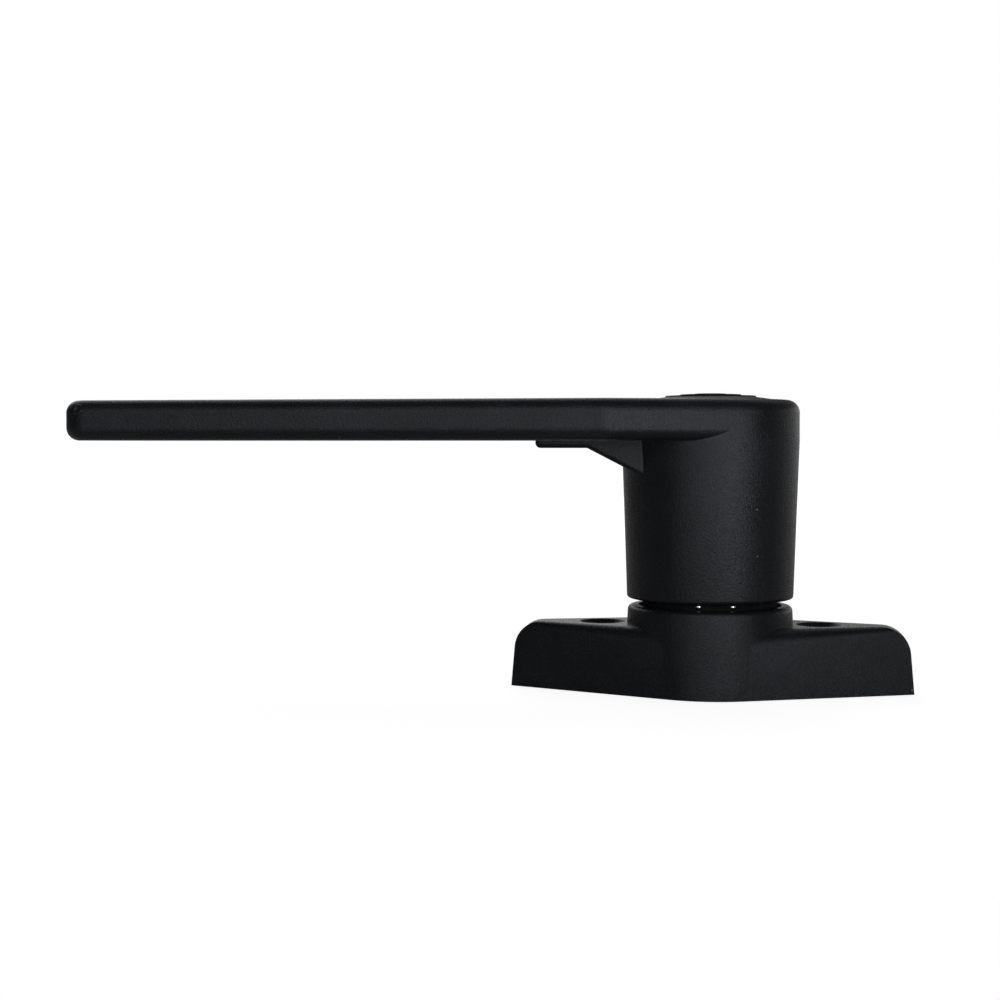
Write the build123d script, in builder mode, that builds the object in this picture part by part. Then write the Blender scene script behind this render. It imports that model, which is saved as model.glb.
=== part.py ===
"""Push-button window lock: a moulded lever handle that turns on a steel spindle in a two-screw base.

Millimetres, +Z up. The origin is the centre of the base's mounting face, on the spindle's axis.
The lever points along -X at rest. Pushing the button drives the thick part of the lock pin into
a round hole at the end of the lock plate's arc slot, which holds the handle there.
"""

import os
from math import sqrt

from build123d import *

hexagon_sides = 6

# Base
base_half_length = 31.4
wing_height = 10.5
wing_side_angle = 86.5
wing_tip_angle = 89.0
wing_end_angle = 85.0
wing_root_offset = 5.7
wing_edge_radius = 3.0
wing_corner_radius = 4.6
wing_end_half_width = 0.9
wing_end_edge = 0.6
boss_foot_radius = 13.4
boss_top_radius = 12.8
boss_height = 13.4
boss_edge_radius = 0.8
boss_rim = 1.6
boss_recess_depth = 1.5
screw_hole_radius = 2.1
screw_head_radius = 3.6
screw_hole_gap = 3.5

# Hub and lever
hub_gap = 1.1
hub_foot_radius = 12.95
hub_head_radius = 13.8
hub_height = 24.6
hub_rim = 2.3
lever_thickness = 6.3
lever_reach = 100.1
lever_tip_half_width = 18.2
lever_tip_corner = 4.0
lever_shoulder_half_width = 20.2
lever_shoulder_corner = 4.0
lever_shoulder_offset = 15.0
lever_edge_radius = 2.0
hub_foot_edge = 0.5

# Gusset under the lever
gusset_half_width = 9.6
gusset_start = 26.4
gusset_slope_start = 18.4
gusset_toe = 9.0
gusset_pad_depth = 1.15
gusset_depth = 6.0
gusset_edge = 0.8

# Cored underside of the lever
core_wall = 2.6
lever_skin = 2.8
core_rib = 1.6
core_rib_count = 5
core_margin = 3.0

# Spindle and bearing
spindle_radius = 4.0
spindle_step = 0.8
spindle_flange_width = 2.8
spindle_flange_height = 2.6
spindle_flange_recess = 0.6
spindle_flat_offset = 3.0
spindle_shoulder_rise = 1.5
flange_clearance = 0.1
running_clearance = 0.05
bush_wall = 1.45
bush_length = 14.4
thrust_washer_thickness = 0.6
thrust_washer_clearance = 0.1
hub_web_drop = 1.2
end_play = 0.05

# Lock plate and pin
plate_thickness = 2.0
plate_clearance = 0.6
pin_radius = 1.6
pin_neck_radius = 1.0
pin_angle = 90.0
pin_clearance = 0.15
pin_lift = 0.4
turn_angle = 90.0
neck_tail = 1.2

# Spindle screw
screw_radius = 2.0
screw_length = 12.0
screw_cap_radius = 3.4
screw_cap_height = 2.4
screw_cap_edge = 0.8
screw_socket_radius = 1.5
screw_socket_depth = 1.4
washer_radius = 3.8
washer_thickness = 0.8
washer_clearance = 0.1

# Button, bezel and spring
button_travel = 3.0
button_flange = 1.2
button_flange_height = 2.0
button_rise = 0.15
button_crown = 0.75
button_ring_pitch = 2.3
button_ring_count = 3
button_ring_height = 0.2
button_roof = 2.0
slide_clearance = 0.3
bezel_wall = 1.7
bezel_height = 3.0
bezel_edge = 0.4
spring_clearance = 0.2
spring_wire = 0.4
spring_turns = 5
spring_seat_gap = 0.02
spring_bore_clearance = 0.3

# Heights worked out from the sizes above
hub_foot = boss_height + hub_gap
lever_underside = hub_foot + hub_height
hub_top = lever_underside + lever_thickness
spindle_shoulder = hub_foot + spindle_shoulder_rise
bush_foot = spindle_shoulder + thrust_washer_thickness
bush_top = bush_foot + bush_length
plate_foot = bush_top + end_play
plate_top = plate_foot + plate_thickness
hub_web = bush_top - hub_web_drop
bezel_foot = hub_top - bezel_height
flange_foot = bezel_foot - button_flange_height
button_ceiling = hub_top - button_roof
pin_step = plate_top + pin_lift
neck_foot = hub_web - neck_tail
washer_top = plate_top + washer_thickness
guide_foot = neck_foot - button_travel - neck_tail
button_edge = hub_top + button_rise
button_apex = button_edge + button_crown
spring_foot = plate_top + spring_wire + spring_seat_gap
spring_height = button_ceiling - plate_top - 2 * (spring_wire + spring_seat_gap)
flange_seat = spindle_flange_recess + spindle_flange_height

# Radii and offsets worked out from the sizes above
screw_hole_offset = boss_foot_radius + screw_hole_gap
wing_root_half_width = sqrt(boss_foot_radius**2 - wing_root_offset**2)
spindle_shank_radius = spindle_radius + spindle_step
spindle_flange_radius = spindle_shank_radius + spindle_flange_width
bush_bore_radius = spindle_radius + running_clearance
bush_radius = bush_bore_radius + bush_wall
bezel_radius = hub_head_radius - hub_rim
bezel_bore_radius = bezel_radius - bezel_wall
button_radius = bezel_bore_radius - slide_clearance
button_flange_radius = button_radius + button_flange
cavity_radius = button_flange_radius + slide_clearance
plate_radius = cavity_radius - plate_clearance
spring_radius = washer_radius + spring_clearance + spring_wire
spring_bore_radius = spring_radius + spring_wire + spring_bore_clearance
pin_pitch_radius = (spring_bore_radius + button_radius) / 2
crown_radius = (button_radius**2 + button_crown**2) / (2 * button_crown)


def save(piece, name):
    """Label a finished piece and write it to its own file."""
    piece.label = name
    export_step(piece, f"parts/{name}.step")


os.makedirs("parts", exist_ok=True)


def wing_section(half_width, side_angle, edge_radius):
    """Upright section of the wings: drafted sides and rounded upper corners."""
    Trapezoid(2 * half_width, wing_height, side_angle, align=(Align.CENTER, Align.MIN))
    fillet(vertices().group_by(Axis.Y)[-1], edge_radius)


# Base: drafted wings lofted from the boss to their ends, trimmed by the side profile, and a round boss
with BuildPart() as base:
    with BuildSketch(Plane.YZ.offset(wing_root_offset)):
        wing_section(wing_root_half_width, wing_side_angle, wing_edge_radius)
    with BuildSketch(Plane.YZ.offset(base_half_length)):
        wing_section(wing_end_half_width, wing_tip_angle, wing_end_edge)
    loft(ruled=True)
    mirror(about=Plane.YZ)
    with BuildSketch(Plane.XZ):
        wing_section(base_half_length, wing_end_angle, wing_corner_radius)
    extrude(amount=boss_foot_radius, both=True, mode=Mode.INTERSECT)
    with BuildSketch():
        Circle(boss_foot_radius)
    with BuildSketch(Plane.XY.offset(boss_height)):
        Circle(boss_top_radius)
    loft(ruled=True)
    fillet(base.edges().group_by(Axis.Z)[-1], boss_edge_radius)
    with Locations((screw_hole_offset, 0, wing_height), (-screw_hole_offset, 0, wing_height)):
        CounterSinkHole(screw_hole_radius, screw_head_radius, depth=wing_height)
    with BuildSketch():
        RegularPolygon(spindle_flange_radius + flange_clearance, hexagon_sides)
    extrude(amount=flange_seat, mode=Mode.SUBTRACT)
    with BuildSketch():
        Circle(spindle_shank_radius)
    extrude(amount=boss_height, mode=Mode.SUBTRACT)
    with BuildSketch(Plane.XY.offset(boss_height)):
        Circle(boss_top_radius - boss_rim)
    extrude(amount=-boss_recess_depth, mode=Mode.SUBTRACT)
save(base.part, "base")

# Section of the spindle's end and of the hole in the lock plate that keys on to it
with BuildSketch() as spindle_key:
    Circle(spindle_radius)
    Rectangle(2 * spindle_flat_offset, 2 * spindle_radius, mode=Mode.INTERSECT)

# Spindle: hexagonal foot held in the base, shouldered shank, two flats for the lock plate
with BuildPart() as spindle:
    with BuildSketch(Plane.XY.offset(spindle_flange_recess)):
        RegularPolygon(spindle_flange_radius, hexagon_sides)
    extrude(amount=spindle_flange_height)
    with BuildSketch(Plane.XY.offset(flange_seat)):
        Circle(spindle_shank_radius)
    extrude(amount=spindle_shoulder - flange_seat)
    with BuildSketch(Plane.XY.offset(spindle_shoulder)):
        Circle(spindle_radius)
    extrude(amount=plate_foot - spindle_shoulder)
    with BuildSketch(Plane.XY.offset(plate_foot)):
        add(spindle_key.sketch)
    extrude(amount=plate_thickness - end_play)
    with BuildSketch(Plane.XY.offset(washer_top - screw_length)):
        Circle(screw_radius)
    extrude(amount=screw_length, mode=Mode.SUBTRACT)
save(spindle.part, "spindle")

# Washer between the spindle's shoulder and the bush
with BuildPart() as thrust_washer:
    with BuildSketch(Plane.XY.offset(spindle_shoulder)):
        Circle(bush_radius - thrust_washer_clearance)
        Circle(bush_bore_radius, mode=Mode.SUBTRACT)
    extrude(amount=thrust_washer_thickness)
save(thrust_washer.part, "thrust_washer")

# Bearing sleeve pressed into the hub
with BuildPart() as hub_bush:
    with BuildSketch(Plane.XY.offset(bush_foot)):
        Circle(bush_radius)
        Circle(bush_bore_radius, mode=Mode.SUBTRACT)
    extrude(amount=bush_length)
save(hub_bush.part, "hub_bush")

# Lock plate: the arc slot passes the pin's neck, its end holes take the pin's full diameter
with BuildPart() as lock_plate:
    with BuildSketch(Plane.XY.offset(plate_foot)):
        Circle(plate_radius)
        add(spindle_key.sketch, mode=Mode.SUBTRACT)
        pin_path = CenterArc((0, 0), pin_pitch_radius, pin_angle, turn_angle, mode=Mode.PRIVATE)
        SlotArc(pin_path, 2 * (pin_neck_radius + pin_clearance), mode=Mode.SUBTRACT)
        with Locations(pin_path @ 0, pin_path @ 1):
            Circle(pin_radius + pin_clearance, mode=Mode.SUBTRACT)
    extrude(amount=plate_thickness)
save(lock_plate.part, "lock_plate")

# Washer and socket screw that hold the lock plate on the spindle
with BuildPart() as spindle_washer:
    with BuildSketch(Plane.XY.offset(plate_top)):
        Circle(washer_radius)
        Circle(screw_radius + washer_clearance, mode=Mode.SUBTRACT)
    extrude(amount=washer_thickness)
save(spindle_washer.part, "spindle_washer")

with BuildPart() as spindle_screw:
    with BuildSketch(Plane.XY.offset(washer_top)):
        Circle(screw_cap_radius)
    extrude(amount=screw_cap_height)
    fillet(spindle_screw.edges().group_by(Axis.Z)[-1], screw_cap_edge)
    with BuildSketch(Plane.XY.offset(washer_top + screw_cap_height)):
        RegularPolygon(screw_socket_radius, hexagon_sides)
    extrude(amount=-screw_socket_depth, mode=Mode.SUBTRACT)
    with BuildSketch(Plane.XY.offset(washer_top)):
        Circle(screw_radius)
    extrude(amount=-screw_length)
save(spindle_screw.part, "spindle_screw")

# Handle: lever blade with rounded edges, tapered hub, gusset, cored underside and button cavity
tip_centre = lever_reach - lever_tip_corner
tip_spread = 2 * (lever_tip_half_width - lever_tip_corner)
shoulder_spread = 2 * (lever_shoulder_half_width - lever_shoulder_corner)
core_near = gusset_start + core_margin
core_far = lever_reach - core_wall
core_rib_pitch = (core_far - core_near) / (core_rib_count + 1)


def lever_outline(inset):
    """Plan of the lever: hub circle, two shoulders and two tip corners, drawn inwards by inset."""
    Circle(hub_head_radius - inset)
    with Locations((-lever_shoulder_offset, 0)):
        with GridLocations(0, shoulder_spread, 1, 2):
            Circle(lever_shoulder_corner - inset)
    with Locations((-tip_centre, 0)):
        with GridLocations(0, tip_spread, 1, 2):
            Circle(lever_tip_corner - inset)
    make_hull()


with BuildPart() as handle:
    with BuildSketch(Plane.XY.offset(lever_underside)):
        lever_outline(0)
    extrude(amount=lever_thickness)
    fillet(handle.faces().filter_by(Axis.Z).edges(), lever_edge_radius)
    with BuildSketch(Plane.XZ):
        with BuildLine():
            Polyline(
                (0, hub_foot),
                (hub_foot_radius, hub_foot),
                (hub_head_radius, lever_underside),
                (hub_head_radius, hub_top - lever_edge_radius),
                (0, hub_top - lever_edge_radius),
                close=True,
            )
        make_face()
    revolve(axis=Axis.Z)
    foot_edge = handle.edges().group_by(Axis.Z)[0]
    fillet(foot_edge, hub_foot_edge)
    with BuildSketch(Plane.XZ) as gusset_profile:
        with BuildLine():
            Polyline(
                (0, lever_underside + lever_edge_radius),
                (-gusset_start, lever_underside + lever_edge_radius),
                (-gusset_start, lever_underside - gusset_pad_depth),
                (-gusset_slope_start, lever_underside - gusset_pad_depth),
                (-gusset_toe, lever_underside - gusset_depth),
                (0, lever_underside - gusset_depth),
                close=True,
            )
        make_face()
        pad_corner = gusset_profile.vertices().sort_by(Axis.X)[:2].sort_by(Axis.Y)[0]
        fillet(pad_corner, gusset_edge)
    extrude(amount=gusset_half_width, both=True)
    gusset_sides = handle.faces().filter_by(Axis.Y).filter_by_position(Axis.Z, hub_foot, lever_underside)
    lower_edges = gusset_sides.edges().filter_by_position(Axis.Z, hub_foot, lever_underside - gusset_pad_depth)
    fillet(lower_edges.filter_by(GeomType.LINE), gusset_edge)
    with BuildSketch(Plane.XY.offset(lever_underside)):
        lever_outline(core_wall)
        with Locations((-(core_near + core_far) / 2, 0)):
            Rectangle(core_far - core_near, 2 * lever_shoulder_half_width, mode=Mode.INTERSECT)
            Rectangle(core_far - core_near, core_rib, mode=Mode.SUBTRACT)
            with GridLocations(core_rib_pitch, 0, core_rib_count, 1):
                Rectangle(core_rib, 2 * lever_shoulder_half_width, mode=Mode.SUBTRACT)
    extrude(amount=lever_thickness - lever_skin, mode=Mode.SUBTRACT)
    with BuildSketch(Plane.XY.offset(bezel_foot)):
        Circle(bezel_radius)
    extrude(amount=bezel_height, mode=Mode.SUBTRACT)
    with BuildSketch(Plane.XY.offset(hub_web)):
        Circle(cavity_radius)
    extrude(amount=bezel_foot - hub_web, mode=Mode.SUBTRACT)
    with BuildSketch(Plane.XY.offset(hub_foot)):
        Circle(bush_radius)
    extrude(amount=hub_web - hub_foot, mode=Mode.SUBTRACT)
    with BuildSketch(Plane.XY.offset(guide_foot)):
        with PolarLocations(pin_pitch_radius, 1, start_angle=pin_angle):
            Circle(pin_neck_radius + pin_clearance)
    extrude(amount=hub_web - guide_foot, mode=Mode.SUBTRACT)
save(handle.part, "handle")

# Ring pressed into the hub's mouth, which keeps the button in
with BuildPart() as button_bezel:
    with BuildSketch(Plane.XY.offset(bezel_foot)):
        Circle(bezel_radius)
        Circle(bezel_bore_radius, mode=Mode.SUBTRACT)
    extrude(amount=bezel_height)
    chamfer(button_bezel.edges().group_by(Axis.Z)[-1].sort_by(SortBy.RADIUS)[0], bezel_edge)
save(button_bezel.part, "button_bezel")

# Button: flanged cap with a low crown, grip rings, a spring bore and a hole for the lock pin
with BuildPart() as push_button:
    with BuildSketch(Plane.XZ):
        with BuildLine():
            crown = TangentArc((0, button_apex), (button_radius, button_edge), tangent=(1, 0))
            Polyline(
                crown @ 1,
                (button_radius, bezel_foot),
                (button_flange_radius, bezel_foot),
                (button_flange_radius, flange_foot),
                (spring_bore_radius, flange_foot),
                (spring_bore_radius, button_ceiling),
                (0, button_ceiling),
                crown @ 0,
            )
        make_face()
        for ring in range(button_ring_count):
            ring_radius = (ring + 1) * button_ring_pitch
            crown_drop = crown_radius - sqrt(crown_radius**2 - ring_radius**2)
            with Locations((ring_radius, button_apex - crown_drop)):
                RegularPolygon(button_ring_height, hexagon_sides)
    revolve(axis=Axis.Z)
    with BuildSketch(Plane.XY.offset(flange_foot)):
        with PolarLocations(pin_pitch_radius, 1, start_angle=pin_angle):
            Circle(pin_radius)
    extrude(amount=button_ceiling - flange_foot, mode=Mode.SUBTRACT)
save(push_button.part, "push_button")

# Stepped pin: full diameter above the lock plate at rest, neck in the plate's slot and the hub's guide hole
with BuildPart() as lock_pin:
    with BuildSketch(Plane.XY.offset(pin_step)):
        with PolarLocations(pin_pitch_radius, 1, start_angle=pin_angle):
            Circle(pin_radius)
    extrude(amount=button_ceiling - pin_step)
    with BuildSketch(Plane.XY.offset(neck_foot)):
        with PolarLocations(pin_pitch_radius, 1, start_angle=pin_angle):
            Circle(pin_neck_radius)
    extrude(amount=pin_step - neck_foot)
save(lock_pin.part, "lock_pin")

# Coil spring between the lock plate and the button
with BuildPart() as button_spring:
    with BuildLine(Plane.XY.offset(spring_foot)) as coil:
        Helix(pitch=spring_height / spring_turns, height=spring_height, radius=spring_radius)
    with BuildSketch(Plane(origin=coil.line @ 0, z_dir=coil.line % 0)):
        Circle(spring_wire)
    sweep(path=coil.line, is_frenet=True)
save(button_spring.part, "button_spring")
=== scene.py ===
"""Looks of a push-button window lock: black plastic, steel works, a dust seal and a white studio stage.

Metres, in the same frame as the solids: +Z up, the lever along -X, the spindle's axis through the origin.
"""

import math

import bmesh
import bpy
from bpy.props import FloatProperty, FloatVectorProperty, IntProperty, PointerProperty
from mathutils import Matrix, Vector


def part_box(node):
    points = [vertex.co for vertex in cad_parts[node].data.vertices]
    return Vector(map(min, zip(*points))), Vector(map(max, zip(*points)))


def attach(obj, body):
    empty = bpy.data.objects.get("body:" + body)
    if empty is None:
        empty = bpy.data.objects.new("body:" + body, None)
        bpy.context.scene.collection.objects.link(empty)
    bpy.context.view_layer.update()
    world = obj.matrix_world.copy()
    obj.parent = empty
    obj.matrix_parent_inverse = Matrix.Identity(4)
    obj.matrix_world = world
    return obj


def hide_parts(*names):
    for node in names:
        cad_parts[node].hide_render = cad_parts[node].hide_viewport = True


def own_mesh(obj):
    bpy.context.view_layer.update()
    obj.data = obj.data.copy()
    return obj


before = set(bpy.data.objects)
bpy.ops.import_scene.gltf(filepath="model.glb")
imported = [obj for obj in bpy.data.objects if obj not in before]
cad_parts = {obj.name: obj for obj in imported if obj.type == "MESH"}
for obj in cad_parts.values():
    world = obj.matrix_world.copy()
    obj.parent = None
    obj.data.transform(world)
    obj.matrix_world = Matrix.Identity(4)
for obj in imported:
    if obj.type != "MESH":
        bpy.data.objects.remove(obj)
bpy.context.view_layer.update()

bl_info = {
    "name": "Window Lock Looks",
    "version": (1, 0, 0),
    "blender": (4, 5, 0),
    "location": "3D View > Sidebar > Window Lock",
    "description": "Finishes the pieces of a push-button window lock and sets up its studio stage",
    "category": "Object",
}

handle_low, handle_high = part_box("handle")
base_low, base_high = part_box("base")

# Spans of a noise's value over which its patches fade in, from broad patches to scattered ones
BROAD_SPAN = (0.3, 0.7)
CLOUD_SPAN = (0.35, 0.7)
PATCH_SPAN = (0.4, 0.7)
STAIN_SPAN = (0.45, 0.75)
GREASE_SPAN = (0.5, 0.72)

# Cosines between a face and its softened normal, on an open face and on an edge that takes the full wear and
# painted sheen
EDGE_SPAN = (1.0, 0.8)

# Places of a mix node's sockets for colours
MIX_FACTOR, MIX_FIRST, MIX_SECOND, MIX_RESULT = 0, 6, 7, 2

# Section of the gate's mark, a dish in a rounded rim, in shares of its radius and height
GATE_SECTION = ((0, 0.2), (0.45, 0.3), (0.62, 0.9), (0.74, 1), (0.88, 0.8), (1, -0.2), (1, -1.5), (0, -1.5))
GATE_STEPS = 32

# Section of a pin with a domed head, in shares of its radius
PIN_SECTION = ((0, 0.5), (0.5, 0.4), (0.85, 0.15), (1, -0.2), (1, -2), (0, -2))
PIN_STEPS = 24

SEAL_STEPS = 96
LIP_STEPS = 4
LAMPS = ("key", "side", "top", "rear")


class PlasticFinish(bpy.types.PropertyGroup):
    """Black moulded plastic with the fine spark grain of its mould."""

    colour: FloatVectorProperty(
        name="Colour", description="Colour of the moulded plastic",
        subtype="COLOR", size=3, min=0, max=1, default=(0.0066, 0.0070, 0.0082),
    )
    # Lighter colour on the edges: partly wear from handling, partly painted sheen
    wear_and_sheen_colour: FloatVectorProperty(
        name="Worn Colour", description="Colour where handling has rubbed the edges",
        subtype="COLOR", size=3, min=0, max=1, default=(0.020, 0.021, 0.023),
    )
    speck_colour: FloatVectorProperty(
        name="Speck Colour", description="Colour of the dust specks caught in the grain",
        subtype="COLOR", size=3, min=0, max=1, default=(0.17, 0.18, 0.19),
    )
    roughness: FloatProperty(
        name="Roughness", description="Mean roughness of the grained surface",
        subtype="FACTOR", min=0, max=1, default=0.26,
    )
    button_roughness: FloatProperty(
        name="Button Roughness", description="Mean roughness of the button and its bezel",
        subtype="FACTOR", min=0, max=1, default=0.5,
    )
    specular: FloatProperty(
        name="Specular", description="Strength of the plastic's surface reflection",
        subtype="FACTOR", min=0, max=1, default=0.2,
    )
    sheen_tint: FloatVectorProperty(
        name="Sheen Tint", description="Faint blue of the plastic's surface reflection",
        subtype="COLOR", size=3, min=0, max=1, default=(0.88, 0.93, 1.0),
    )
    grain_size: FloatProperty(
        name="Grain Size", description="Width of one pit of the spark grain",
        unit="LENGTH", subtype="DISTANCE", precision=6, default=0.00024,
    )
    grain_depth: FloatProperty(
        name="Grain Depth", description="Depth of the spark grain",
        unit="LENGTH", subtype="DISTANCE", precision=6, default=0.00013,
    )
    grain_gloss: FloatProperty(
        name="Grain Gloss", description="How far the roughness changes from the grain's pits to its peaks",
        subtype="FACTOR", min=0, max=1, default=0.24,
    )
    button_grain: FloatProperty(
        name="Button Grain", description="Depth of the button's grain as a share of the handle's",
        subtype="FACTOR", min=0, max=1, default=0.5,
    )
    cloud_size: FloatProperty(
        name="Cloud Size", description="Width of the cloudy patches in colour and gloss",
        unit="LENGTH", subtype="DISTANCE", precision=6, default=0.0072,
    )
    cloud_lift: FloatProperty(
        name="Cloud Lift", description="How many times lighter the cloudy patches are",
        min=0, default=1.5,
    )
    cloud_gloss: FloatProperty(
        name="Cloud Gloss", description="How far the cloudy patches change the roughness, up and down",
        subtype="FACTOR", min=0, max=1, default=0.015,
    )
    speck_spacing: FloatProperty(
        name="Speck Spacing", description="Mean distance between places where a speck may lie",
        unit="LENGTH", subtype="DISTANCE", precision=6, default=0.0026,
    )
    speck_size: FloatProperty(
        name="Speck Size", description="Radius of the largest dust speck",
        unit="LENGTH", subtype="DISTANCE", precision=6, default=0.00014,
    )
    speck_free: FloatProperty(
        name="Speck Free", description="Share of those places that hold no speck",
        subtype="FACTOR", min=0, max=1, default=0.35,
    )
    # Width of the edge band that takes both the wear and the painted sheen
    wear_and_sheen_width: FloatProperty(
        name="Wear Width", description="Width of the rubbed band along an edge",
        unit="LENGTH", subtype="DISTANCE", precision=6, default=0.0005,
    )
    wear_gloss: FloatProperty(
        name="Wear Gloss", description="How much smoother the rubbed edges are",
        subtype="FACTOR", min=0, max=1, default=0.1,
    )


class MetalFinish(bpy.types.PropertyGroup):
    """Steel of the spindle and of the lock works inside the hub."""

    spindle_colour: FloatVectorProperty(
        name="Spindle Colour", description="Colour of the polished spindle",
        subtype="COLOR", size=3, min=0, max=1, default=(0.78, 0.78, 0.79),
    )
    spindle_roughness: FloatVectorProperty(
        name="Spindle Roughness", description="Least and greatest roughness of the spindle",
        size=2, min=0, max=1, default=(0.08, 0.18),
    )
    smear_size: FloatProperty(
        name="Smear Size", description="Width of the smears on the spindle",
        unit="LENGTH", subtype="DISTANCE", precision=6, default=0.0048,
    )
    smear_shade: FloatProperty(
        name="Smear Shade", description="Brightness of the smears as a share of the clean steel's",
        subtype="FACTOR", min=0, max=1, default=0.86,
    )
    turning_pitch: FloatProperty(
        name="Turning Pitch", description="Distance between the fine turning marks on the spindle",
        unit="LENGTH", subtype="DISTANCE", precision=6, default=0.00012,
    )
    turning_depth: FloatProperty(
        name="Turning Depth", description="Depth of the turning marks",
        unit="LENGTH", subtype="DISTANCE", precision=6, default=0.000002,
    )
    zinc_colour: FloatVectorProperty(
        name="Zinc Colour", description="Colour of the zinc plating on the lock works",
        subtype="COLOR", size=3, min=0, max=1, default=(0.58, 0.59, 0.60),
    )
    zinc_stain: FloatVectorProperty(
        name="Zinc Stain", description="Colour of the passivated patches in the zinc",
        subtype="COLOR", size=3, min=0, max=1, default=(0.52, 0.49, 0.38),
    )
    zinc_roughness: FloatVectorProperty(
        name="Zinc Roughness", description="Least and greatest roughness of the zinc",
        size=2, min=0, max=1, default=(0.26, 0.42),
    )
    stain_size: FloatProperty(
        name="Stain Size", description="Width of the passivated patches",
        unit="LENGTH", subtype="DISTANCE", precision=6, default=0.0024,
    )
    stain_share: FloatProperty(
        name="Stain Share", description="Strength of the stain in the middle of a patch",
        subtype="FACTOR", min=0, max=1, default=0.7,
    )
    crystal_size: FloatProperty(
        name="Crystal Size", description="Width of one zinc crystal",
        unit="LENGTH", subtype="DISTANCE", precision=6, default=0.00024,
    )
    crystal_depth: FloatProperty(
        name="Crystal Depth", description="Height of the zinc crystals",
        unit="LENGTH", subtype="DISTANCE", precision=6, default=0.000004,
    )


class BearingFinish(bpy.types.PropertyGroup):
    """Natural acetal of the bush and the thrust washer."""

    colour: FloatVectorProperty(
        name="Colour", description="Colour of the natural acetal",
        subtype="COLOR", size=3, min=0, max=1, default=(0.78, 0.77, 0.72),
    )
    grease_colour: FloatVectorProperty(
        name="Grease Colour", description="Colour of the grease film on the running faces",
        subtype="COLOR", size=3, min=0, max=1, default=(0.60, 0.55, 0.40),
    )
    grease_share: FloatProperty(
        name="Grease Share", description="Strength of the grease's colour where the film is thick",
        subtype="FACTOR", min=0, max=1, default=0.8,
    )
    film_size: FloatProperty(
        name="Film Size", description="Width of the patches in the grease film",
        unit="LENGTH", subtype="DISTANCE", precision=6, default=0.003,
    )
    dry_roughness: FloatProperty(
        name="Dry Roughness", description="Roughness of the acetal without grease",
        subtype="FACTOR", min=0, max=1, default=0.45,
    )
    greased_roughness: FloatProperty(
        name="Greased Roughness", description="Roughness of the acetal under grease",
        subtype="FACTOR", min=0, max=1, default=0.2,
    )
    texture_size: FloatProperty(
        name="Texture Size", description="Width of the moulded surface's fine texture",
        unit="LENGTH", subtype="DISTANCE", precision=6, default=0.0003,
    )
    texture_depth: FloatProperty(
        name="Texture Depth", description="Depth of the moulded surface's fine texture",
        unit="LENGTH", subtype="DISTANCE", precision=6, default=0.00001,
    )


class GateMark(bpy.types.PropertyGroup):
    """Mark that the mould's gate leaves on the lever's tip, and the tip's sizes that place it."""

    radius: FloatProperty(
        name="Radius", description="Radius of the gate's mark",
        unit="LENGTH", subtype="DISTANCE", precision=6, default=0.0009,
    )
    height: FloatProperty(
        name="Height", description="Height of the mark's rim",
        unit="LENGTH", subtype="DISTANCE", precision=6, default=0.00016,
    )
    sink: FloatProperty(
        name="Sink", description="How deep the mark is set into the lever",
        unit="LENGTH", subtype="DISTANCE", precision=6, default=0.000048,
    )
    turn: FloatProperty(
        name="Turn", description="Direction of the mark round the tip's corner, from the lever's front",
        subtype="ANGLE", default=math.radians(12),
    )
    tilt: FloatProperty(
        name="Tilt", description="How far up the rounded edge the mark lies",
        subtype="ANGLE", default=math.radians(15),
    )
    tip_half_width: FloatProperty(
        name="Tip Half Width", description="Half the width of the lever at its tip",
        unit="LENGTH", subtype="DISTANCE", precision=6, default=0.0182,
    )
    tip_corner: FloatProperty(
        name="Tip Corner", description="Radius of the tip's corners in plan",
        unit="LENGTH", subtype="DISTANCE", precision=6, default=0.004,
    )
    tip_edge: FloatProperty(
        name="Tip Edge", description="Radius of the rounding along the lever's edges",
        unit="LENGTH", subtype="DISTANCE", precision=6, default=0.002,
    )


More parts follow.
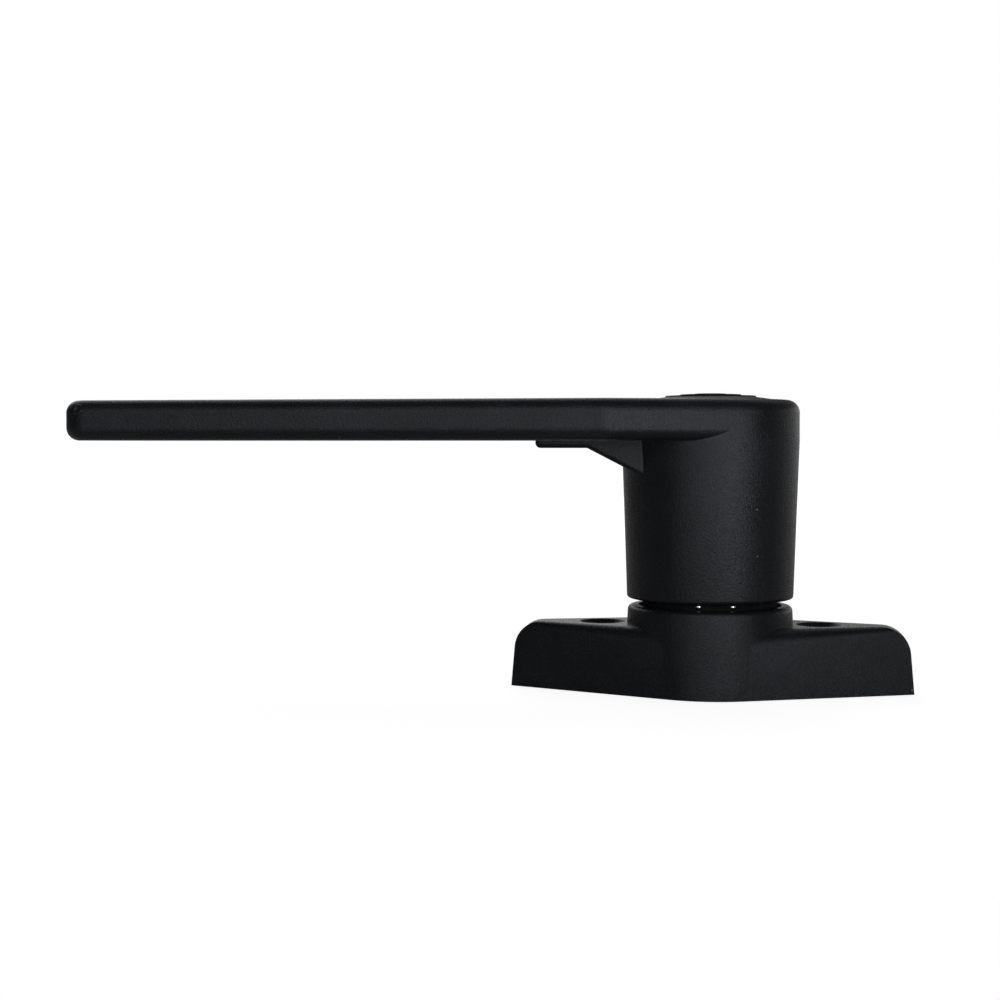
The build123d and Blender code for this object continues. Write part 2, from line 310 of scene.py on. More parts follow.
class SealRing(bpy.types.PropertyGroup):
    """Rubber dust seal in the gap between the hub and the boss, and the pins that hold it."""

    colour: FloatVectorProperty(
        name="Colour", description="Colour of the rubber",
        subtype="COLOR", size=3, min=0, max=1, default=(0.0045, 0.0046, 0.0048),
    )
    roughness: FloatVectorProperty(
        name="Roughness", description="Least and greatest roughness of the rubber",
        size=2, min=0, max=1, default=(0.75, 0.9),
    )
    specular: FloatProperty(
        name="Specular", description="Strength of the rubber's surface reflection",
        subtype="FACTOR", min=0, max=1, default=0.1,
    )
    bloom_size: FloatProperty(
        name="Bloom Size", description="Width of the patches of bloom",
        unit="LENGTH", subtype="DISTANCE", precision=6, default=0.0012,
    )
    bloom_depth: FloatProperty(
        name="Bloom Depth", description="Height of the patches of bloom",
        unit="LENGTH", subtype="DISTANCE", precision=6, default=0.00004,
    )
    bloom_lift: FloatProperty(
        name="Bloom Lift", description="How many times lighter the bloom is",
        min=0, default=2.2,
    )
    outer_radius: FloatProperty(
        name="Outer Radius", description="Outer radius of the seal",
        unit="LENGTH", subtype="DISTANCE", precision=6, default=0.0105,
    )
    inner_radius: FloatProperty(
        name="Inner Radius", description="Inner radius of the seal, clear of the spindle",
        unit="LENGTH", subtype="DISTANCE", precision=6, default=0.0055,
    )
    seat_depth: FloatProperty(
        name="Seat Depth", description="Depth of the recess in the boss where the seal sits",
        unit="LENGTH", subtype="DISTANCE", precision=6, default=0.0015,
    )
    running_gap: FloatProperty(
        name="Running Gap", description="Gap between the seal's lip and the turning hub",
        unit="LENGTH", subtype="DISTANCE", precision=6, default=0.00015,
    )
    lip_radius: FloatProperty(
        name="Lip Radius", description="Rounding of the seal's upper outer edge",
        unit="LENGTH", subtype="DISTANCE", precision=6, default=0.0004,
    )
    pin_radius: FloatProperty(
        name="Pin Radius", description="Radius of a steel pin in the seal's side",
        unit="LENGTH", subtype="DISTANCE", precision=6, default=0.0005,
    )
    pin_turn: FloatProperty(
        name="Pin Turn", description="Angle from the seal's front or back to the middle of a pair of pins",
        subtype="ANGLE", default=math.radians(7.5),
    )
    pin_spread: FloatProperty(
        name="Pin Spread", description="Angle of each pin from the middle of its pair",
        subtype="ANGLE", default=math.radians(14.5),
    )


class ReturnSpring(bpy.types.PropertyGroup):
    """Coil spring that pushes the button back up."""

    wire_radius: FloatProperty(
        name="Wire Radius", description="Radius of the spring's wire",
        unit="LENGTH", subtype="DISTANCE", precision=6, default=0.0004,
    )
    turns: IntProperty(name="Turns", description="Turns of the coil", min=1, default=5)
    turn_steps: IntProperty(name="Turn Steps", description="Steps that make up one turn", min=8, default=48)
    wire_steps: IntProperty(name="Wire Steps", description="Sides of the wire's section", min=6, default=12)


class StudioStage(bpy.types.PropertyGroup):
    """Camera, softboxes, pale floor and white backdrop."""

    camera_place: FloatVectorProperty(
        name="Camera Place", description="Where the camera stands",
        subtype="TRANSLATION", unit="LENGTH", size=3, default=(0.010972, -0.268170, 0.038879),
    )
    camera_turn: FloatVectorProperty(
        name="Camera Turn", description="Which way the camera looks",
        subtype="EULER", size=3, default=(math.radians(88.046), 0, math.radians(9.391)),
    )
    lens: FloatProperty(
        name="Lens", description="Focal length on a 36 mm sensor, in millimetres",
        subtype="DISTANCE_CAMERA", default=61.2,
    )
    clip_start: FloatProperty(
        name="Clip Start", description="Nearest distance that the camera shows",
        unit="LENGTH", subtype="DISTANCE", default=0.01,
    )
    floor_colour: FloatVectorProperty(
        name="Floor Colour", description="Colour of the pale floor",
        subtype="COLOR", size=3, min=0, max=1, default=(0.6, 0.6, 0.6),
    )
    floor_size: FloatProperty(
        name="Floor Size", description="Side of the floor",
        unit="LENGTH", subtype="DISTANCE", default=40.0,
    )
    floor_front: FloatProperty(
        name="Floor Front", description="How far the floor runs in front of the lock",
        unit="LENGTH", subtype="DISTANCE", default=0.12,
    )
    floor_glow: FloatProperty(
        name="Floor Glow", description="White that the background adds to the floor near the lock",
        subtype="FACTOR", min=0, max=1, default=0.85,
    )
    glow_reach: FloatVectorProperty(
        name="Glow Reach", description="Distances from the lock over which the glow grows to full white",
        unit="LENGTH", size=2, min=0, default=(0.2, 0.6),
    )
    floor_mirror: FloatProperty(
        name="Floor Mirror", description="Share of the floor's white that mirrored rays see",
        subtype="FACTOR", min=0, max=1, default=0.2,
    )
    mirror_reach: FloatVectorProperty(
        name="Mirror Reach", description="Distances toward the backdrop over which that share grows",
        unit="LENGTH", size=2, min=0, default=(0.1, 0.5),
    )
    backdrop_side: FloatVectorProperty(
        name="Backdrop Side", description="Direction of the white backdrop from the lock",
        subtype="DIRECTION", size=3, default=(0.5, 0.866, 0.0),
    )
    backdrop_spread: FloatVectorProperty(
        name="Backdrop Spread", description="Cosines from that direction where it begins and is full",
        size=2, min=-1, max=1, default=(0.6, 0.95),
    )
    backdrop_mirror: FloatProperty(
        name="Backdrop Mirror", description="Share of the backdrop's white that mirrored rays see",
        subtype="FACTOR", min=0, max=1, default=0.8,
    )
    backdrop_slopes: FloatVectorProperty(
        name="Backdrop Slopes", description="Slopes of sight between which the backdrop fades at its top",
        size=2, min=0, max=1, default=(0.1, 0.25),
    )
    backdrop_rest: FloatProperty(
        name="Backdrop Rest", description="Share of the backdrop's white that is left above its top",
        subtype="FACTOR", min=0, max=1, default=0.05,
    )
    key_place: FloatVectorProperty(
        name="Key Place", description="Middle of the broad softbox in front of the lock",
        subtype="TRANSLATION", unit="LENGTH", size=3, default=(0.08, -0.61, 0.13),
    )
    key_size: FloatVectorProperty(
        name="Key Size", description="Width and height of the broad softbox",
        unit="LENGTH", size=2, min=0, default=(0.95, 0.58),
    )
    key_power: FloatProperty(
        name="Key Power", description="Power of the broad softbox",
        unit="POWER", default=3.0,
    )
    side_place: FloatVectorProperty(
        name="Side Place", description="Middle of the small, low softbox to the right of the camera",
        subtype="TRANSLATION", unit="LENGTH", size=3, default=(0.375, -0.495, -0.04),
    )
    side_size: FloatVectorProperty(
        name="Side Size", description="Width and height of the small softbox",
        unit="LENGTH", size=2, min=0, default=(0.24, 0.24),
    )
    side_power: FloatProperty(
        name="Side Power", description="Power of the small softbox",
        unit="POWER", default=0.95,
    )
    top_place: FloatVectorProperty(
        name="Top Place", description="Middle of the softbox above and behind the lock",
        subtype="TRANSLATION", unit="LENGTH", size=3, default=(-0.05, 0.5, 0.75),
    )
    top_size: FloatVectorProperty(
        name="Top Size", description="Width and height of the softbox above",
        unit="LENGTH", size=2, min=0, default=(1.2, 0.7),
    )
    top_power: FloatProperty(
        name="Top Power", description="Power of the softbox above",
        unit="POWER", default=0.8,
    )
    rear_place: FloatVectorProperty(
        name="Rear Place", description="Middle of the softbox behind the lock, to the left",
        subtype="TRANSLATION", unit="LENGTH", size=3, default=(-0.35, 0.7, 0.45),
    )
    rear_size: FloatVectorProperty(
        name="Rear Size", description="Width and height of the softbox behind",
        unit="LENGTH", size=2, min=0, default=(0.8, 0.6),
    )
    rear_power: FloatProperty(
        name="Rear Power", description="Power of the softbox behind",
        unit="POWER", default=1.5,
    )
    fill_level: FloatProperty(
        name="Fill Level", description="Brightness of the room around the stage",
        min=0, default=0.06,
    )


GROUPS = {
    "lock_plastic": PlasticFinish,
    "lock_metal": MetalFinish,
    "lock_bearing": BearingFinish,
    "lock_gate": GateMark,
    "lock_seal": SealRing,
    "lock_spring": ReturnSpring,
    "lock_stage": StudioStage,
}


# Small helpers for node trees
def new_material(name):
    """A material with only its shader and output, and its node tree and shader."""
    material = bpy.data.materials.new(name)
    material.use_nodes = True
    tree = material.node_tree
    return material, tree, tree.nodes["Principled BSDF"]


def feed(tree, socket, value):
    """Link a socket to another one, or set its value."""
    if isinstance(value, bpy.types.NodeSocket):
        tree.links.new(value, socket)
    else:
        socket.default_value = value


def add_node(tree, kind, settings=None, **inputs):
    """A node with its settings, its input values and its links set by name."""
    node = tree.nodes.new(kind)
    for name, value in (settings or {}).items():
        setattr(node, name, value)
    for name, value in inputs.items():
        feed(tree, node.inputs[name.replace("_", " ")], value)
    return node


def math_node(tree, operation, first, second):
    """The result of one sum on two values or sockets."""
    node = add_node(tree, "ShaderNodeMath", {"operation": operation})
    feed(tree, node.inputs[0], first)
    feed(tree, node.inputs[1], second)
    return node.outputs["Value"]


def vector_node(tree, operation, first, second=None):
    """The number that an operation on one or two vectors gives."""
    node = add_node(tree, "ShaderNodeVectorMath", {"operation": operation})
    feed(tree, node.inputs[0], first)
    if second is not None:
        feed(tree, node.inputs[1], second)
    return node.outputs["Value"]


def remap(tree, value, span, low, high):
    """A value moved from its own span to the range between low and high, and held inside it."""
    start, end = span
    inputs = {"From_Min": start, "From_Max": end, "To_Min": low, "To_Max": high}
    return add_node(tree, "ShaderNodeMapRange", Value=value, **inputs).outputs["Result"]


def mix_colour(tree, factor, first, second):
    """A colour between two colours."""
    node = add_node(tree, "ShaderNodeMix", {"data_type": "RGBA"})
    for index, value in ((MIX_FACTOR, factor), (MIX_FIRST, first), (MIX_SECOND, second)):
        feed(tree, node.inputs[index], value)
    return node.outputs[MIX_RESULT]


def rgba(colour, lift=1.0):
    """An opaque colour, made lighter or darker by a factor."""
    return (*(lift * value for value in colour), 1.0)


def object_place(tree):
    """Where a point of the surface lies on its piece."""
    return tree.nodes.new("ShaderNodeTexCoord").outputs["Object"]


def noise(tree, place, size, detail=2.0, roughness=0.5):
    """Noise whose features are about size across."""
    inputs = {"Vector": place, "Scale": 1 / size, "Detail": detail, "Roughness": roughness}
    return add_node(tree, "ShaderNodeTexNoise", **inputs).outputs["Fac"]


def edge_mask(tree, width):
    """1 along sharp outer edges, 0 on open faces."""
    soft = add_node(tree, "ShaderNodeBevel", {"samples": 6}, Radius=width).outputs["Normal"]
    flat = tree.nodes.new("ShaderNodeNewGeometry").outputs["Normal"]
    return remap(tree, vector_node(tree, "DOT_PRODUCT", soft, flat), EDGE_SPAN, 0.0, 1.0)


def dust_specks(tree, place, finish):
    """1 in small round specks at uneven places, 0 between them."""
    spacing = finish.speck_spacing
    cells = add_node(tree, "ShaderNodeTexVoronoi", Vector=place, Scale=1 / spacing, Randomness=1.0)
    chance = add_node(tree, "ShaderNodeSeparateColor", Color=cells.outputs["Color"]).outputs["Red"]
    reach = remap(tree, chance, (finish.speck_free, 1.0), 0.0, finish.speck_size / spacing)
    return math_node(tree, "LESS_THAN", cells.outputs["Distance"], reach)


def finish_shader(tree, shader, colour, roughness, height, strength, depth):
    """Give a shader its colour, its roughness and a bump from a height."""
    bump = add_node(tree, "ShaderNodeBump", Height=height, Strength=strength, Distance=depth)
    tree.links.new(colour, shader.inputs["Base Color"])
    tree.links.new(roughness, shader.inputs["Roughness"])
    tree.links.new(bump.outputs["Normal"], shader.inputs["Normal"])


# Finishes
def grained_plastic(name, finish, roughness, grain_share=1.0):
    """Moulded plastic: spark grain, cloudy gloss, dust specks, and edges lightened partly by wear and partly
    by painted sheen.
    """
    material, tree, shader = new_material(name)
    place = object_place(tree)
    pits = noise(tree, place, finish.grain_size, detail=3.0, roughness=0.62)
    clouds = noise(tree, place, finish.cloud_size, detail=3.0)
    # Edge mask: the edges get a lighter colour, partly wear and partly painted sheen, and a lower roughness
    wear_and_sheen = math_node(tree, "MULTIPLY", edge_mask(tree, finish.wear_and_sheen_width), clouds)
    cloudy = remap(tree, clouds, CLOUD_SPAN, 0.0, 1.0)
    shade = mix_colour(tree, cloudy, rgba(finish.colour), rgba(finish.colour, finish.cloud_lift))
    wear_and_sheen_mix = mix_colour(tree, wear_and_sheen, shade, rgba(finish.wear_and_sheen_colour))
    dusty = mix_colour(tree, dust_specks(tree, place, finish), wear_and_sheen_mix, rgba(finish.speck_colour))
    gloss = math_node(tree, "MULTIPLY", pits, finish.grain_gloss)
    patches = remap(tree, clouds, BROAD_SPAN, -finish.cloud_gloss, finish.cloud_gloss)
    gloss = math_node(tree, "ADD", gloss, patches)
    gloss = math_node(tree, "ADD", gloss, roughness - finish.grain_gloss / 2)
    gloss = math_node(tree, "SUBTRACT", gloss, math_node(tree, "MULTIPLY", wear_and_sheen, finish.wear_gloss))
    finish_shader(tree, shader, dusty, gloss, pits, strength=0.6, depth=grain_share * finish.grain_depth)
    shader.inputs["Specular IOR Level"].default_value = finish.specular
    shader.inputs["Specular Tint"].default_value = rgba(finish.sheen_tint)
    return material


def polished_steel(finish):
    """Turned and polished steel with fine rings round the axis."""
    material, tree, shader = new_material("polished_steel")
    place = object_place(tree)
    height = add_node(tree, "ShaderNodeSeparateXYZ", Vector=place).outputs["Z"]
    level = add_node(tree, "ShaderNodeCombineXYZ", Z=height).outputs["Vector"]
    rings = noise(tree, level, finish.turning_pitch)
    smears = noise(tree, place, finish.smear_size)
    smeared = remap(tree, smears, CLOUD_SPAN, 0.0, 1.0)
    smear_colour = rgba(finish.spindle_colour, finish.smear_shade)
    shade = mix_colour(tree, smeared, rgba(finish.spindle_colour), smear_colour)
    gloss = remap(tree, smears, BROAD_SPAN, *finish.spindle_roughness)
    finish_shader(tree, shader, shade, gloss, rings, strength=0.5, depth=finish.turning_depth)
    shader.inputs["Metallic"].default_value = 1.0
    return material


def zinc_plate(finish):
    """Zinc-plated steel with faint passivated patches."""
    material, tree, shader = new_material("zinc_plate")
    place = object_place(tree)
    patches = noise(tree, place, finish.stain_size, detail=4.0)
    crystals = noise(tree, place, finish.crystal_size)
    stained = remap(tree, patches, STAIN_SPAN, 0.0, finish.stain_share)
    shade = mix_colour(tree, stained, rgba(finish.zinc_colour), rgba(finish.zinc_stain))
    gloss = remap(tree, crystals, BROAD_SPAN, *finish.zinc_roughness)
    finish_shader(tree, shader, shade, gloss, crystals, strength=0.4, depth=finish.crystal_depth)
    shader.inputs["Metallic"].default_value = 1.0
    return material


def greased_acetal(finish):
    """Natural acetal with a thin, uneven film of grease."""
    material, tree, shader = new_material("greased_acetal")
    place = object_place(tree)
    film = noise(tree, place, finish.film_size, detail=3.0)
    texture = noise(tree, place, finish.texture_size)
    greased = remap(tree, film, GREASE_SPAN, 0.0, finish.grease_share)
    shade = mix_colour(tree, greased, rgba(finish.colour), rgba(finish.grease_colour))
    gloss = remap(tree, film, PATCH_SPAN, finish.dry_roughness, finish.greased_roughness)
    finish_shader(tree, shader, shade, gloss, texture, strength=0.3, depth=finish.texture_depth)
    return material


def seal_rubber(finish):
    """Matt black rubber with a fine bloom."""
    material, tree, shader = new_material("seal_rubber")
    bloom = noise(tree, object_place(tree), finish.bloom_size, detail=4.0)
    bloomed = remap(tree, bloom, PATCH_SPAN, 0.0, 1.0)
    shade = mix_colour(tree, bloomed, rgba(finish.colour), rgba(finish.colour, finish.bloom_lift))
    gloss = remap(tree, bloom, BROAD_SPAN, *finish.roughness)
    finish_shader(tree, shader, shade, gloss, bloom, strength=0.4, depth=finish.bloom_depth)
    shader.inputs["Specular IOR Level"].default_value = finish.specular
    return material


def dress(nodes, material):
    """Give each node of the solids its finish."""
    for name in nodes:
        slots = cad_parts[name].data.materials
        slots.clear()
        slots.append(material)


def worn_by(node):
    """The finish that a node of the solids has been given."""
    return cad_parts[node].data.materials[0]


# Meshes of the pieces that the scene adds
def bridge(shape, first, second):
    """Close the wall between two rings of as many points."""
    for step in range(len(first)):
        shape.faces.new((first[step - 1], second[step - 1], second[step], first[step]))


def close_on_axis(shape, ring, height):
    """Close a ring round Z with faces that meet on the axis."""
    middle = shape.verts.new((0, 0, height))
    for step in range(len(ring)):
        shape.faces.new((middle, ring[step - 1], ring[step]))


def smooth_mesh(name, shape):
    """A smooth-shaded mesh of a closed shape, with its faces turned outward."""
    bmesh.ops.recalc_face_normals(shape, faces=shape.faces)
    mesh = bpy.data.meshes.new(name)
    shape.to_mesh(mesh)
    shape.free()
    mesh.shade_smooth()
    return mesh


def turned_mesh(name, section, steps, open_middle=False):
    """A closed mesh turned round Z from (radius, height) points, as a ring or with both ends on the axis."""
    shape = bmesh.new()
    turns = [2 * math.pi * step / steps for step in range(steps)]
    rings = []
    for radius, height in section if open_middle else section[1:-1]:
        points = [(radius * math.cos(turn), radius * math.sin(turn), height) for turn in turns]
        rings.append([shape.verts.new(point) for point in points])
    for upper, lower in zip(rings, rings[1:]):
        bridge(shape, upper, lower)
    if open_middle:
        bridge(shape, rings[-1], rings[0])
    else:
        for ring, (_, height) in ((rings[0], section[0]), (rings[-1], section[-1])):
            close_on_axis(shape, ring, height)
    return smooth_mesh(name, shape)


def coil_mesh(name, low, high, spring):
    """A closed mesh of wire wound round Z that fills the box between two corners."""
    shape = bmesh.new()
    wire = spring.wire_radius
    radius = (high.x - low.x) / 2 - wire
    rise = high.z - low.z - 2 * wire
    steps = spring.turns * spring.turn_steps
    sides = [2 * math.pi * side / spring.wire_steps for side in range(spring.wire_steps)]
    rings = []
    for step in range(steps + 1):
        turn = 2 * math.pi * step / spring.turn_steps
        outward = Vector((math.cos(turn), math.sin(turn), 0))
        centre = radius * outward + Vector((0, 0, low.z + wire + rise * step / steps))
        offsets = [math.cos(side) * outward + Vector((0, 0, math.sin(side))) for side in sides]
        rings.append([shape.verts.new(centre + wire * offset) for offset in offsets])
    for before, after in zip(rings, rings[1:]):
        bridge(shape, before, after)
    shape.faces.new(rings[0])
    shape.faces.new(rings[-1])
    return smooth_mesh(name, shape)


def facing_out(spot, outward):
    """The placing that puts a piece at a spot, with its own Z turned outward."""
    return Matrix.Translation(spot) @ outward.to_track_quat("Z", "Y").to_matrix().to_4x4()


def place_piece(name, mesh, matrix, material, body):
    """Put a new piece in the scene, finish it and let it ride on its body."""
    piece = bpy.data.objects.new(name, mesh)
    piece.matrix_world = matrix
    mesh.materials.append(material)
    bpy.context.scene.collection.objects.link(piece)
    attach(piece, body)
    return piece


# Stage
def backdrop_rays(tree, behind):
    """How much a ray shows of the background: all on camera and glass rays, a share on mirrored ones."""
    path = tree.nodes.new("ShaderNodeLightPath").outputs
    shown = math_node(tree, "MAXIMUM", path["Is Camera Ray"], path["Is Transmission Ray"])
    return math_node(tree, "MAXIMUM", shown, math_node(tree, "MULTIPLY", path["Is Glossy Ray"], behind))


def pale_floor(scene, stage):
    """A pale floor that runs from just in front of the lock to the horizon and keeps the lock's shadow."""
    half = stage.floor_size / 2
    front = -stage.floor_front
    back = front + stage.floor_size
    corners = [(-half, front), (half, front), (half, back), (-half, back)]
    mesh = bpy.data.meshes.new("floor")
    mesh.from_pydata([(x, y, base_low.z) for x, y in corners], [], [(0, 1, 2, 3)])
    floor = bpy.data.objects.new("floor", mesh)
    material, tree, shader = new_material("pale_floor")
    tree.nodes.remove(shader)
    matt = add_node(tree, "ShaderNodeBsdfDiffuse", Color=rgba(stage.floor_colour))
    place = tree.nodes.new("ShaderNodeNewGeometry").outputs["Position"]
    white = remap(tree, vector_node(tree, "LENGTH", place), stage.glow_reach, stage.floor_glow, 1.0)
    toward = vector_node(tree, "DOT_PRODUCT", place, stage.backdrop_side)
    behind = remap(tree, toward, stage.mirror_reach, 0.0, stage.floor_mirror)
    strength = math_node(tree, "MULTIPLY", backdrop_rays(tree, behind), white)
    glow = add_node(tree, "ShaderNodeEmission", Strength=strength)
    both = tree.nodes.new("ShaderNodeAddShader")
    tree.links.new(matt.outputs["BSDF"], both.inputs[0])
    tree.links.new(glow.outputs["Emission"], both.inputs[1])
    tree.links.new(both.outputs["Shader"], tree.nodes["Material Output"].inputs["Surface"])
    mesh.materials.append(material)
    scene.collection.objects.link(floor)


def white_room(scene, stage):
    """A world that is white to the camera, and in mirrored rays white behind the lock and dim elsewhere."""
    world = bpy.data.worlds.new("white_room")
    world.use_nodes = True
    tree = world.node_tree
    fill = tree.nodes["Background"]
    fill.inputs["Color"].default_value = (1, 1, 1, 1)
    fill.inputs["Strength"].default_value = stage.fill_level
    white = add_node(tree, "ShaderNodeBackground", Color=(1, 1, 1, 1), Strength=1.0)
    direction = tree.nodes.new("ShaderNodeTexCoord").outputs["Generated"]
    toward = vector_node(tree, "DOT_PRODUCT", direction, stage.backdrop_side)
    behind = remap(tree, toward, stage.backdrop_spread, 0.0, stage.backdrop_mirror)
    slope = add_node(tree, "ShaderNodeSeparateXYZ", Vector=direction).outputs["Z"]
    below_top = remap(tree, slope, stage.backdrop_slopes, 1.0, stage.backdrop_rest)
    behind = math_node(tree, "MULTIPLY", behind, below_top)
    mix = add_node(tree, "ShaderNodeMixShader", Fac=backdrop_rays(tree, behind))
    tree.links.new(fill.outputs["Background"], mix.inputs[1])
    tree.links.new(white.outputs["Background"], mix.inputs[2])
    tree.links.new(mix.outputs["Shader"], tree.nodes["World Output"].inputs["Surface"])
    scene.world = world


def softbox(scene, name, place, size, power):
    """A flat lamp that faces the lock."""
    lamp = bpy.data.lights.new(name, "AREA")
    lamp.shape = "RECTANGLE"
    lamp.size, lamp.size_y = size
    lamp.energy = power
    box = bpy.data.objects.new(name, lamp)
    target = Vector((0, 0, handle_low.z))
    box.location = place
    box.rotation_euler = (target - place).to_track_quat("-Z", "Y").to_euler()
    scene.collection.objects.link(box)


def photo_camera(scene, stage):
    """The camera at the photograph's viewing angle."""
    camera = bpy.data.objects.new("camera", bpy.data.cameras.new("camera"))
    camera.location = stage.camera_place
    camera.rotation_euler = stage.camera_turn
    camera.data.lens = stage.lens
    camera.data.clip_start = stage.clip_start
    scene.collection.objects.link(camera)
    scene.camera = camera


# Operators
class WINDOWLOCK_OT_moulded_plastic(bpy.types.Operator):
    """Finish the handle and the base in grained black plastic"""

    bl_idname = "window_lock.moulded_plastic"
    bl_label = "Moulded Plastic"

    def execute(self, context):
        plastic = context.scene.lock_plastic
        dress(("handle", "base"), grained_plastic("grained_plastic", plastic, plastic.roughness))
        return {"FINISHED"}


class WINDOWLOCK_OT_button(bpy.types.Operator):
    """Finish the push button and its bezel in the same plastic, rougher and with a shallower grain"""

    bl_idname = "window_lock.button"
    bl_label = "Push Button"

    def execute(self, context):
        plastic = context.scene.lock_plastic
        matter = grained_plastic("button_plastic", plastic, plastic.button_roughness, plastic.button_grain)
        dress(("push_button", "button_bezel"), matter)
        return {"FINISHED"}


class WINDOWLOCK_OT_spindle(bpy.types.Operator):
    """Finish the spindle in turned and polished steel"""

    bl_idname = "window_lock.spindle"
    bl_label = "Spindle"

    def execute(self, context):
        dress(("spindle",), polished_steel(context.scene.lock_metal))
        return {"FINISHED"}


class WINDOWLOCK_OT_lock_works(bpy.types.Operator):
    """Finish the lock plate, pin, spring, screw and washer in zinc plate"""

    bl_idname = "window_lock.lock_works"
    bl_label = "Lock Works"

    def execute(self, context):
        works = ("lock_plate", "lock_pin", "button_spring", "spindle_screw", "spindle_washer")
        dress(works, zinc_plate(context.scene.lock_metal))
        return {"FINISHED"}


class WINDOWLOCK_OT_return_spring(bpy.types.Operator):
    """Wind the button's return spring in place of the one from the solids"""

    bl_idname = "window_lock.return_spring"
    bl_label = "Return Spring"

    def execute(self, context):
        low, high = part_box("button_spring")
        mesh = coil_mesh("return_spring", low, high, context.scene.lock_spring)
        zinc = worn_by("button_spring")
        spring = place_piece("return_spring", mesh, Matrix.Identity(4), zinc, "base")
        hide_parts("button_spring")
        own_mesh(spring)
        return {"FINISHED"}


class WINDOWLOCK_OT_bearings(bpy.types.Operator):
    """Finish the bush and the thrust washer in greased acetal"""

    bl_idname = "window_lock.bearings"
    bl_label = "Bearings"

    def execute(self, context):
        dress(("hub_bush", "thrust_washer"), greased_acetal(context.scene.lock_bearing))
        return {"FINISHED"}


class WINDOWLOCK_OT_gate_mark(bpy.types.Operator):
    """Add the mark of the mould's gate on the corner of the lever's tip"""

    bl_idname = "window_lock.gate_mark"
    bl_label = "Gate Mark"

    def execute(self, context):
        gate = context.scene.lock_gate
        section = [(gate.radius * across, gate.height * up) for across, up in GATE_SECTION]
        mesh = turned_mesh("gate_mark", section, GATE_STEPS)
        corner_x = handle_low.x + gate.tip_corner
        corner_y = gate.tip_corner - gate.tip_half_width
        corner = Vector((corner_x, corner_y, handle_high.z - gate.tip_edge))
        outward = Vector((-math.sin(gate.turn), -math.cos(gate.turn), 0))
        facing = math.cos(gate.tilt) * outward + Vector((0, 0, math.sin(gate.tilt)))
        spot = corner + (gate.tip_corner - gate.tip_edge) * outward + (gate.tip_edge - gate.sink) * facing
        place_piece("gate_mark", mesh, facing_out(spot, facing), worn_by("handle"), "handle")
        return {"FINISHED"}


class WINDOWLOCK_OT_dust_seal(bpy.types.Operator):
    """Add the rubber dust seal that sits in the boss under the hub, with its steel pins"""

    bl_idname = "window_lock.dust_seal"
    bl_label = "Dust Seal"

    def execute(self, context):
        seal = context.scene.lock_seal
        foot = base_high.z - seal.seat_depth
        top = handle_low.z - seal.running_gap
        section = [(seal.inner_radius, foot), (seal.outer_radius, foot)]
        for step in range(LIP_STEPS + 1):
            turn = math.pi / 2 * step / LIP_STEPS
            inset = seal.lip_radius * (1 - math.cos(turn))
            drop = seal.lip_radius * (1 - math.sin(turn))
            section.append((seal.outer_radius - inset, top - drop))
        section.append((seal.inner_radius, top))
        mesh = turned_mesh("dust_seal", section, SEAL_STEPS, open_middle=True)
        place_piece("dust_seal", mesh, Matrix.Identity(4), seal_rubber(seal), "base")
        self.add_pins(seal)
        return {"FINISHED"}

    def add_pins(self, seal):
        """Set a pair of pins in the seal's front and another in its back."""
        section = [(seal.pin_radius * across, seal.pin_radius * up) for across, up in PIN_SECTION]
        middle = Vector((0, 0, (base_high.z + handle_low.z) / 2))
        steel = worn_by("spindle")
        pins = [(front, lean) for front in (1, -1) for lean in (1, -1)]
        for number, (front, lean) in enumerate(pins, start=1):
            name = f"seal_pin_{number}"
            turn = seal.pin_turn + lean * seal.pin_spread
            outward = front * Vector((math.sin(turn), -math.cos(turn), 0))
            matrix = facing_out(middle + seal.outer_radius * outward, outward)
            place_piece(name, turned_mesh(name, section, PIN_STEPS), matrix, steel, "base")


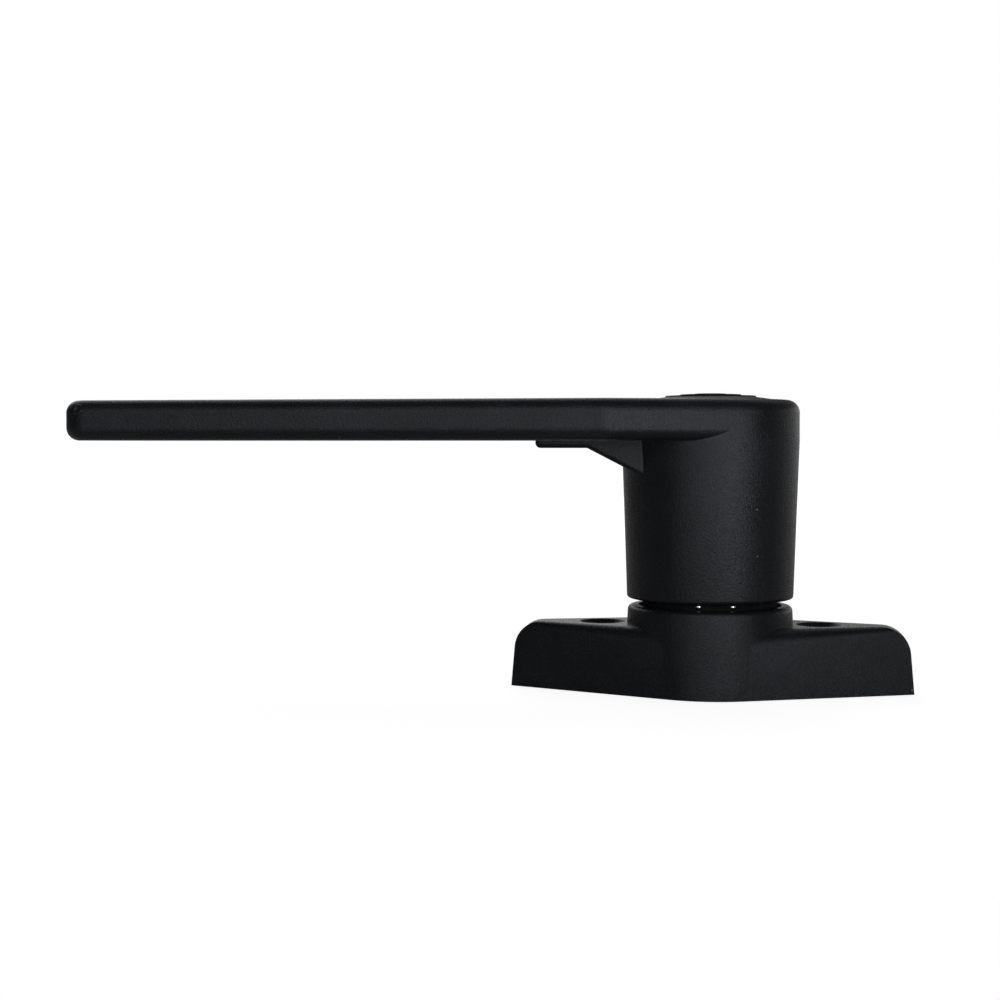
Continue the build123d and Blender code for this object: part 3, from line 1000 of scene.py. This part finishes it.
class WINDOWLOCK_OT_studio(bpy.types.Operator):
    """Set up the white studio: floor, world, softboxes and camera"""

    bl_idname = "window_lock.studio"
    bl_label = "Studio Stage"

    def execute(self, context):
        scene = context.scene
        stage = scene.lock_stage
        pale_floor(scene, stage)
        white_room(scene, stage)
        for lamp in LAMPS:
            place = Vector(getattr(stage, f"{lamp}_place"))
            size = getattr(stage, f"{lamp}_size")
            softbox(scene, f"{lamp}_softbox", place, size, getattr(stage, f"{lamp}_power"))
        photo_camera(scene, stage)
        scene.view_settings.view_transform = "Standard"
        return {"FINISHED"}


class WINDOWLOCK_PT_looks(bpy.types.Panel):
    """Lists the steps and the settings of the lock's looks"""

    bl_idname = "WINDOWLOCK_PT_looks"
    bl_label = "Window Lock"
    bl_space_type = "VIEW_3D"
    bl_region_type = "UI"
    bl_category = "Window Lock"

    def draw(self, context):
        column = self.layout.column()
        for operator in OPERATORS:
            column.operator(operator.bl_idname)
        for name, group in GROUPS.items():
            box = self.layout.box()
            for setting in group.__annotations__:
                box.prop(getattr(context.scene, name), setting)


OPERATORS = (
    WINDOWLOCK_OT_moulded_plastic,
    WINDOWLOCK_OT_button,
    WINDOWLOCK_OT_spindle,
    WINDOWLOCK_OT_lock_works,
    WINDOWLOCK_OT_return_spring,
    WINDOWLOCK_OT_bearings,
    WINDOWLOCK_OT_gate_mark,
    WINDOWLOCK_OT_dust_seal,
    WINDOWLOCK_OT_studio,
)


def register():
    for group in GROUPS.values():
        bpy.utils.register_class(group)
    for name, group in GROUPS.items():
        setattr(bpy.types.Scene, name, PointerProperty(type=group))
    for operator in OPERATORS:
        bpy.utils.register_class(operator)
    bpy.utils.register_class(WINDOWLOCK_PT_looks)


def unregister():
    bpy.utils.unregister_class(WINDOWLOCK_PT_looks)
    for operator in reversed(OPERATORS):
        bpy.utils.unregister_class(operator)
    for name, group in GROUPS.items():
        delattr(bpy.types.Scene, name)
        bpy.utils.unregister_class(group)


def main():
    register()
    bpy.ops.window_lock.moulded_plastic()
    bpy.ops.window_lock.button()
    bpy.ops.window_lock.spindle()
    bpy.ops.window_lock.lock_works()
    bpy.ops.window_lock.return_spring()
    bpy.ops.window_lock.bearings()
    bpy.ops.window_lock.gate_mark()
    bpy.ops.window_lock.dust_seal()
    bpy.ops.window_lock.studio()


if __name__ == "__main__":
    main()
